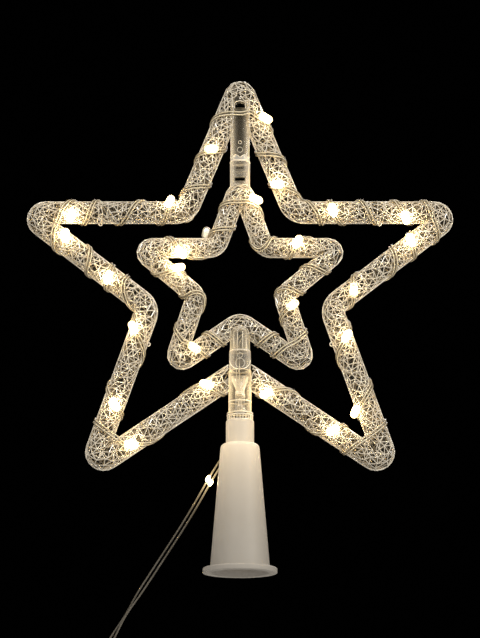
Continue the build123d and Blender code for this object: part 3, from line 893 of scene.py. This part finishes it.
def light_wire(name, points, outs, seats):
    """Wire pair wound on a star and the lamps seated on it."""
    pair = side_lines(points, outs, wire_spread)
    wire = merged(f"{name}_light_wire_pair", [
        rods(pair, sheath_radius, sheath_clear, 8), rods(pair, strand_radius, strand_pale)])
    lamp_light(wire, seats, wire_reach)
    mount(wire, "star", "light_wire", f"{name}_light_wire")
    lamps = lamp_set(f"{name}_lamps", seats)
    mount(lamps, "star", "lamp", *[f"{name}_lamp_{k:02d}" for k in range(1, len(seats) + 1)])


def capsule(radius, half):
    """Round-ended profile about its own middle."""
    arc = [math.pi / 2 * k / 6 for k in range(7)]
    upper = [(radius * math.cos(a), half - radius + radius * math.sin(a)) for a in arc]
    return [(r, -z) for r, z in reversed(upper)] + upper


drop_radius, drop_half = 2.6, 4.8
body_radius, body_half = 2.0, 3.8

# Least and greatest level, finishes of the drop and the body in it, size of the body
lamp_kinds = ((0.8, 1.0, lamp_clear, lamp_glow, 1.0), (0.3, 0.7, lamp_clear, lamp_glow, 0.55),
              (0.0, 0.2, wall_clear, lamp_faint, 1.0))


def lamp_set(name, seats, size=1.0):
    """Lamp capsules: clear drops with bright, small or faint bodies, by their levels."""
    meshes = []
    for least, most, drop_finish, body_finish, share in lamp_kinds:
        places = [seat[:3] for seat in seats if least <= seat[3] <= most]
        if places:
            drop = turned(capsule(drop_radius * size, drop_half * size), 16, drop_finish, False)
            body = turned(capsule(body_radius * size * share, body_half * size * share), 12,
                          body_finish, False)
            meshes += [copies(places, drop, drop_finish), copies(places, body, body_finish)]
    return merged(name, meshes)


def feed(side, rise):
    """Wire straight up from the splice."""
    foot = Vector((side * 1.4, 11.8, 118.0))
    return [(foot, up), (foot + up * rise, up)]


outer_line, outer_outs = wound_line(outer_star, outer_arms, radius=8.1, lead_in=feed(1, 1.8),
                                    start_share=0.88, stop_share=0.9)
inner_line, inner_outs = wound_line(inner_star, inner_arms, radius=7.2, lead_in=feed(-1, 33.8),
                                    start_share=0.72, stop_share=0.74)
outer_seats = lamp_seats(outer_star, "outer", 19, outer_line)
inner_seats = lamp_seats(inner_star, "inner", 7, inner_line)

# Where the link tubes pass: half width, lower and upper height
outer_links = ((5.8, 104.0, 139.5), (4.8, 262.0, 307.6), (3.9, 307.6, 312.6))
inner_links = ((4.6, 140.0, 158.0), (4.2, 257.0, 259.0))
lattice(outer_star, "outer", cell=3.6, strut=0.29, seed=5, links=outer_links, rings=eyelets(outer_star),
        seats=outer_seats)
lattice(inner_star, "inner", cell=3.0, strut=0.25, seed=9, links=inner_links, rings=[], seats=inner_seats)
light_wire("outer", outer_line, outer_outs, outer_seats)
light_wire("inner", inner_line, inner_outs, inner_seats)


# Cone, plug, stem and links: turned pieces

def moulding(name, node_name, meshes, body="star", seats=outer_seats + inner_seats, reach=9.0):
    """Turned piece in place of its node, with the lamps' light within reach stored on it."""
    piece = merged(f"{name}_moulding", meshes)
    lamp_light(piece, seats, reach)
    mount(piece, body, "clear_plastic", node_name)


cone_profile = rounded(
    [(18.19, 0), (23.8, 0), (23.8, 3.4), (19.1, 3.4), (12.3, 83.6), (9.05, 83.6), (9.05, 98.6),
     (7.48, 98.6), (7.48, 82.4), (11.2, 82.4)],
    {1: 0.5, 2: 0.9, 3: 0.8, 4: 3.0, 5: 0.5, 6: 0.8})
cone = merged("topper_cone_moulding", [turned(stepped(cone_profile, 6.0), 96, cone_white)])
# Painted light on the cone: strongest on the neck and fading down from the shoulder, for the lamps' light
# from above.
shoulder, neck_light, light_fall = 84.0, 0.62, 26.0
store(cone, "lamp_light", [
    neck_light if spot.co.z > shoulder * mm else math.exp((spot.co.z / mm - shoulder) / light_fall)
    for spot in cone.data.vertices])
# Faces looking into the cone's hollow, where shade is painted.
store(cone, "inner_side", [
    float(face.normal.x * face.center.x + face.normal.y * face.center.y < -0.3 * face.center.xy.length)
    for face in cone.data.polygons], "FACE")
mount(cone, "cone", "white_plastic", "topper_cone")

plug_profile = rounded(
    [(0, 98.6), (5.9, 98.6), (5.9, 85.6), (7.4, 85.6), (7.4, 98.6), (8.4, 98.6), (8.4, 103.9),
     (4.8, 103.9), (3.3, 107.5), (2.18, 107.5), (1.9, 106.2), (0, 105.3)],
    {5: 1.0, 6: 1.0})

window_slope = 0.23
box_faces = [(0, 1, 3, 2), (4, 6, 7, 5), (0, 4, 5, 1), (2, 3, 7, 6), (0, 2, 6, 4), (1, 5, 7, 3)]


def part_finish(mesh, made, test):
    """Second finish on the faces that pass a test."""
    mesh.materials.append(made)
    for face in mesh.polygons:
        if test(face):
            face.material_index = 1


def pipe(diameter, bore, low, high, made_of, windows=()):
    """Tube with eased ends and windows: (height, half width, half height, how far back it is cut).

    A window rises towards the back.
    """
    mesh = turned(rounded([(bore / 2, low), (diameter / 2, low), (diameter / 2, high), (bore / 2, high)],
                          {1: 0.4, 2: 0.4}), 64, made_of)
    middle = (diameter + bore) / 4 * mm
    part_finish(mesh, bore_clear, lambda face: math.hypot(face.center.x, face.center.y) < middle
                and abs(face.normal.z) < 0.5)
    holder = place_object("tube", mesh)
    cutters = []
    for height, half_width, half_height, depth in windows:
        cutter = mesh_of("window", [(x * half_width, y * diameter,
                                     height + z * half_height + (y + 0.5) * diameter * window_slope)
                                    for x in (-1, 1) for y in (-1, depth) for z in (-1, 1)],
                         (), box_faces, made_of, False)
        cutters.append(place_object("window", cutter))
        cut = holder.modifiers.new("window", "BOOLEAN")
        cut.object = cutters[-1]
        cut.solver = "EXACT"
    result = evaluated(holder)
    discard(holder, *cutters)
    return result


def marks(radius, rings):
    """Raised moulding rings on a tube's front: (height, ring radius)."""
    lines = []
    for height, size in rings:
        flat = ring_line(Vector((0, 0, height)), right, up, size, 18)
        lines.append([Vector((p.x, -math.sqrt(radius ** 2 - p.x ** 2) + 0.05, p.z)) for p in flat])
    return rods(lines, 0.13)


def beads(rings):
    """Thin rings round the Z axis: (height, radius)."""
    return rods([ring_line(up * height, right, -front, radius, 48)
                 for height, radius in rings], 0.3)


def ribs(radius, low, high, count):
    """Upright ribs inside a tube."""
    angles = [2 * math.pi * (k + 0.5) / count for k in range(count)]
    return rods([[Vector((radius * math.cos(a), radius * math.sin(a), z)) for z in (low, high)]
                 for a in angles], 0.32)


def scalloped_seam(radius, low, notch, rise, count):
    """Band round a tube's foot with lobes on its upper edge and a notch in front."""
    size = count * 12
    edge = [Vector((radius * math.sin(a), -radius * math.cos(a),
                    notch + rise * abs(math.sin(a * count / 2))))
            for a in [2 * math.pi * k / size for k in range(size)]]
    foot = [Vector((p.x, p.y, low)) for p in edge]
    band = mesh_of("band", foot + edge, (), [(k, (k + 1) % size, size + (k + 1) % size, size + k)
                                             for k in range(size)], sleeve_clear)
    return band, rods([edge + edge[:1]], 0.24)


collar_top = 103.95
plug = turned(plug_profile, 64, wall_clear, False)
part_finish(plug, bore_clear, lambda face: face.center.z > collar_top * mm)
moulding("stem_plug", "stem_plug", [
    plug, beads([(98.9, 8.2), (103.6, 8.2), (102.0, 8.4)]), ribs(8.1, 99.4, 101.6, 26)], body="plug")

funnel = [(5.6, 127.6), (5.2, 125.2), (4.2, 122.6), (3.1, 120.2), (2.6, 118.0), (2.5, 116.2)]
cup_rim = [Vector((6.7 * math.cos(math.pi * k / 16), -7.25, 137.0 - 5.6 * math.sin(math.pi * k / 16)))
           for k in range(17)]
moulding("stem_tube", "stem_tube", [
    pipe(14.8, 11.8, 104.2, 131.5, wall_clear), turned(funnel, 48, pin_clear, False),
    beads([(111.1, 7.3), (116.0, 3.0)]), rods([cup_rim], 0.24)], seats=outer_seats, reach=14.0)

moulding("bottom_socket", "bottom_socket_tube", [
    pipe(14.0, 9.6, 131.9, 144.2, wall_misty), marks(7.0, [(140.7, 1.6), (135.6, 3.0)])])
dome = [(4.8, 144.2), (6.5, 144.2), (6.5, 154.0), (6.2, 156.6), (5.5, 158.7), (4.2, 160.3), (2.3, 161.2),
        (0.0, 161.5), (0.0, 160.4), (2.0, 160.1), (3.5, 159.3), (4.5, 157.7), (4.8, 155.6)]
moulding("bottom_spigot", "bottom_spigot_tube", [
    turned(dome, 64, wall_clear), ribs(4.4, 146.0, 157.0, 8), beads([(144.6, 6.6)])])

socket_foot, socket_top, hanger_top = 254.4, 272.1, 315.9
moulding("top_socket", "top_socket_tube", [
    pipe(13.1, 9.6, socket_foot, socket_top, wall_misty, [(267.6, 2.6, 2.1, 0), (259.2, 3.3, 1.4, 1)]),
    beads([(271.8, 6.6)])])
window_frame = [Vector((x, -math.sqrt(6.25 ** 2 - x ** 2), z)) for x, z in (
    (-3.6, 308.0), (-3.6, 311.6), (-2.4, 312.6), (0, 313.0), (2.4, 312.6), (3.6, 311.6), (3.6, 308.0))]
moulding("top_hanger", "top_hanger_tube", [
    pipe(12.5, 9.6, socket_top, hanger_top, wall_clear, [(310.1, 3.6, 2.1, 1)]), rods([window_frame], 0.25),
    marks(6.25, [(279.2, 1.8), (284.3, 1.1)]), beads([(272.5, 6.3)]),
    *scalloped_seam(6.3, 272.2, 273.9, 2.0, 6)])

ball = [(2.1 * math.cos(a), 107.5 + 2.1 * math.sin(a))
        for a in [math.pi * (k / 12 - 0.5) for k in range(10)]]
pin = turned([(0, 105.4)] + ball[1:] + [(1.2, 109.3), (1.2, 113.9), (3.2, 113.9), (3.2, 117.9), (0, 117.9)],
             40, pin_clear, False)
webs = [mesh_of("web", [(x, y, z) for x in (-a, a) for y in (-b, b) for z in (113.9, 117.9)],
                (), box_faces, bore_clear, False) for a, b in ((5.8, 0.5), (0.5, 5.8))]
moulding("swivel_pin", "swivel_pin", [pin] + webs)

node_finishes = {
    "bottom_link_peg": bore_clear, "top_link_peg": bore_clear, "splice_saddle": bore_clear,
    "outer_wire_cap": sleeve_clear, "inner_wire_cap": sleeve_clear, "lead_splice": sleeve_clear,
    "plug_body": connector_black, "plug_relief": connector_black, "plug_barrel": barrel_steel,
    "lead_tie": tie_black}
for name, made in node_finishes.items():
    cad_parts[name].material_slots[0].material = made


# Lead: free run and put-away coil on one line

lead_slope = math.radians(60.9)
lead_way = Vector((-math.cos(lead_slope), 0, -math.sin(lead_slope)))
lead_route = [Vector(p) for p in ((0, 11.8, 106), (0, 11.8, 92), (-16, 13.5, 69), (-32.3, 14, 39.1),
                                  (-52, 14, 8.5), (-72, 14, -22.5))]
lead_route.append(lead_route[-1] + lead_way * 36)
coil_radius, coil_pitch = 26.1, 4.6
turns_in, turns_back, turns_out = 3, 0.5, 2.5
steps_a_turn = 16
coil_start = math.atan2(-lead_way.x, lead_way.z)
coil_hub = lead_route[-1] - Vector((math.cos(coil_start), 0, math.sin(coil_start))) * coil_radius


def coil_point(turns):
    """Place on the coil after a number of turns: in, a step back, out."""
    angle = coil_start + 2 * math.pi * turns
    climb = min(max((turns - turns_in) / turns_back, 0), 1)
    rise = coil_pitch * climb * climb * (3 - 2 * climb)
    radius = (coil_radius - coil_pitch * min(turns, turns_in)
              + coil_pitch * max(turns - turns_in - turns_back, 0))
    return coil_hub + Vector((math.cos(angle) * radius, rise, math.sin(angle) * radius))


for k in range(1, round((turns_in + turns_back + turns_out) * steps_a_turn) + 1):
    lead_route.append(coil_point(k / steps_a_turn))
tail = (lead_route[-1] - lead_route[-2]).normalized()
lead_route.append(lead_route[-1] + tail * 10)
line = bpy.data.curves.new("lead_line", "CURVE")
line.dimensions = "3D"
spline = line.splines.new("NURBS")
spline.points.add(len(lead_route) - 1)
for spot, place in zip(spline.points, lead_route):
    spot.co = (*(place * mm), 1)
spline.order_u = 3
spline.use_endpoint_u = True
spline.resolution_u = 8
line_object = place_object("lead_line", line)
line_mesh = evaluated(line_object)
lead_points = [v.co / mm for v in line_mesh.vertices]
bpy.data.objects.remove(line_object)
bpy.data.meshes.remove(line_mesh)


def lead_outs(points, out, twist, twist_height, twist_reach):
    """Way out of the flat lead's face along its line, with a twist at one height."""
    outs = []
    for k, point in enumerate(points):
        way = way_at(points, k)
        out = (out - way * out.dot(way)).normalized()
        turn = twist * math.exp(-((point.z - twist_height) / twist_reach) ** 2)
        outs.append(Matrix.Rotation(turn, 3, way) @ out)
    return outs


lead_faces = lead_outs(lead_points, front, twist=1.3, twist_height=-25.0, twist_reach=13.0)
lead_spread, lead_strand = 2.5, 0.55
lead = merged("lead_pair", [rods(side_lines(lead_points, lead_faces, lead_spread), lead_strand,
                                 lead_sheath, 8)])
mount(lead, "star", "lead", "lead_cord", "lead_coil")

_, lamp_foot, lamp_way = seat_on(lead_points, "lead_lamp")
lamp_out = front - lamp_way * front.dot(lamp_way)
lamp_across = lamp_way.cross(lamp_out).normalized()
lead_seats = [(lamp_foot + lamp_out * 1.2 + (lamp_across * 1.4 - lamp_way * 0.8) * side,
               lamp_way, lamp_out.normalized(), 1.0) for side in (-1, 1)]
lead_reach = 8.0
# painted lamp light on the lead close to its lamp
lamp_light(lead, lead_seats, lead_reach)
lead_lamp = lamp_set("lead_lamp_capsule", lead_seats, size=0.5)
mount(lead_lamp, "star", "lamp", "lead_lamp")


# Stage, light and camera

floor_reach, floor_height = 900, -420
floor_mesh = mesh_of("floor", [(x * floor_reach, y * floor_reach, floor_height)
                               for x, y in ((-1, -1), (1, -1), (1, 1), (-1, 1))],
                     (), [(0, 1, 2, 3)], finish("floor_pale", (0.8, 0.8, 0.79), 0.7))
floor = place_object("floor", floor_mesh)

world = bpy.data.worlds.new("studio")
bpy.context.scene.world = world
world.use_nodes = True
world.node_tree.nodes.clear()
path = node(world, "ShaderNodeLightPath")
seen = node(world, "ShaderNodeMath", operation="MAXIMUM")
clear = node(world, "ShaderNodeMath", operation="MAXIMUM")
dark = node(world, "ShaderNodeBackground", Color=(0.0002, 0.0002, 0.0002, 1))
soft = node(world, "ShaderNodeBackground", Color=(0.95, 0.97, 1.0, 1), Strength=0.16)
mix = node(world, "ShaderNodeMixShader")
join(path.outputs["Is Camera Ray"], seen.inputs[0])
join(path.outputs["Is Glossy Ray"], seen.inputs[1])
join(seen.outputs[0], clear.inputs[0])
join(path.outputs["Is Transmission Ray"], clear.inputs[1])
join(clear.outputs[0], mix.inputs[0])
join(soft.outputs[0], mix.inputs[1])
join(dark.outputs[0], mix.inputs[2])
join(mix.outputs[0], node(world, "ShaderNodeOutputWorld").inputs["Surface"])


def area_light(name, place, aim, width, height, power, colour):
    """Soft panel of light aimed at a point."""
    lamp = bpy.data.lights.new(name, "AREA")
    lamp.shape = "RECTANGLE"
    lamp.size, lamp.size_y = width, height
    lamp.energy = power
    lamp.color = colour
    panel = bpy.data.objects.new(name, lamp)
    panel.location = place
    panel.rotation_euler = (Vector(aim) - Vector(place)).to_track_quat("-Z", "Y").to_euler()
    bpy.context.scene.collection.objects.link(panel)


area_light("key_panel", (-0.5, -0.8, 1.2), (0, 0, 0.2), 0.4, 0.4, 14, (1.0, 0.96, 0.9))
area_light("fill_panel", (1.1, -0.9, 0.5), (0, 0, 0.17), 0.6, 0.6, 12, (1.0, 0.95, 0.87))
area_light("rear_panel", (0.2, 1.2, 0.9), (0, 0, 0.18), 0.8, 0.5, 8, (1.0, 0.97, 0.93))

focal_pixels, picture_height, sensor_height = 2600, 638, 24
camera_data = bpy.data.cameras.new("camera")
camera_data.sensor_fit = "VERTICAL"
camera_data.sensor_height = sensor_height
camera_data.lens = focal_pixels / picture_height * sensor_height
camera = bpy.data.objects.new("camera", camera_data)
camera.location = (0, -1.6494, -0.2146)
camera.rotation_euler = (math.radians(103), 0, 0)
bpy.context.scene.collection.objects.link(camera)
bpy.context.scene.camera = camera
bpy.context.scene.view_settings.view_transform = "Standard"
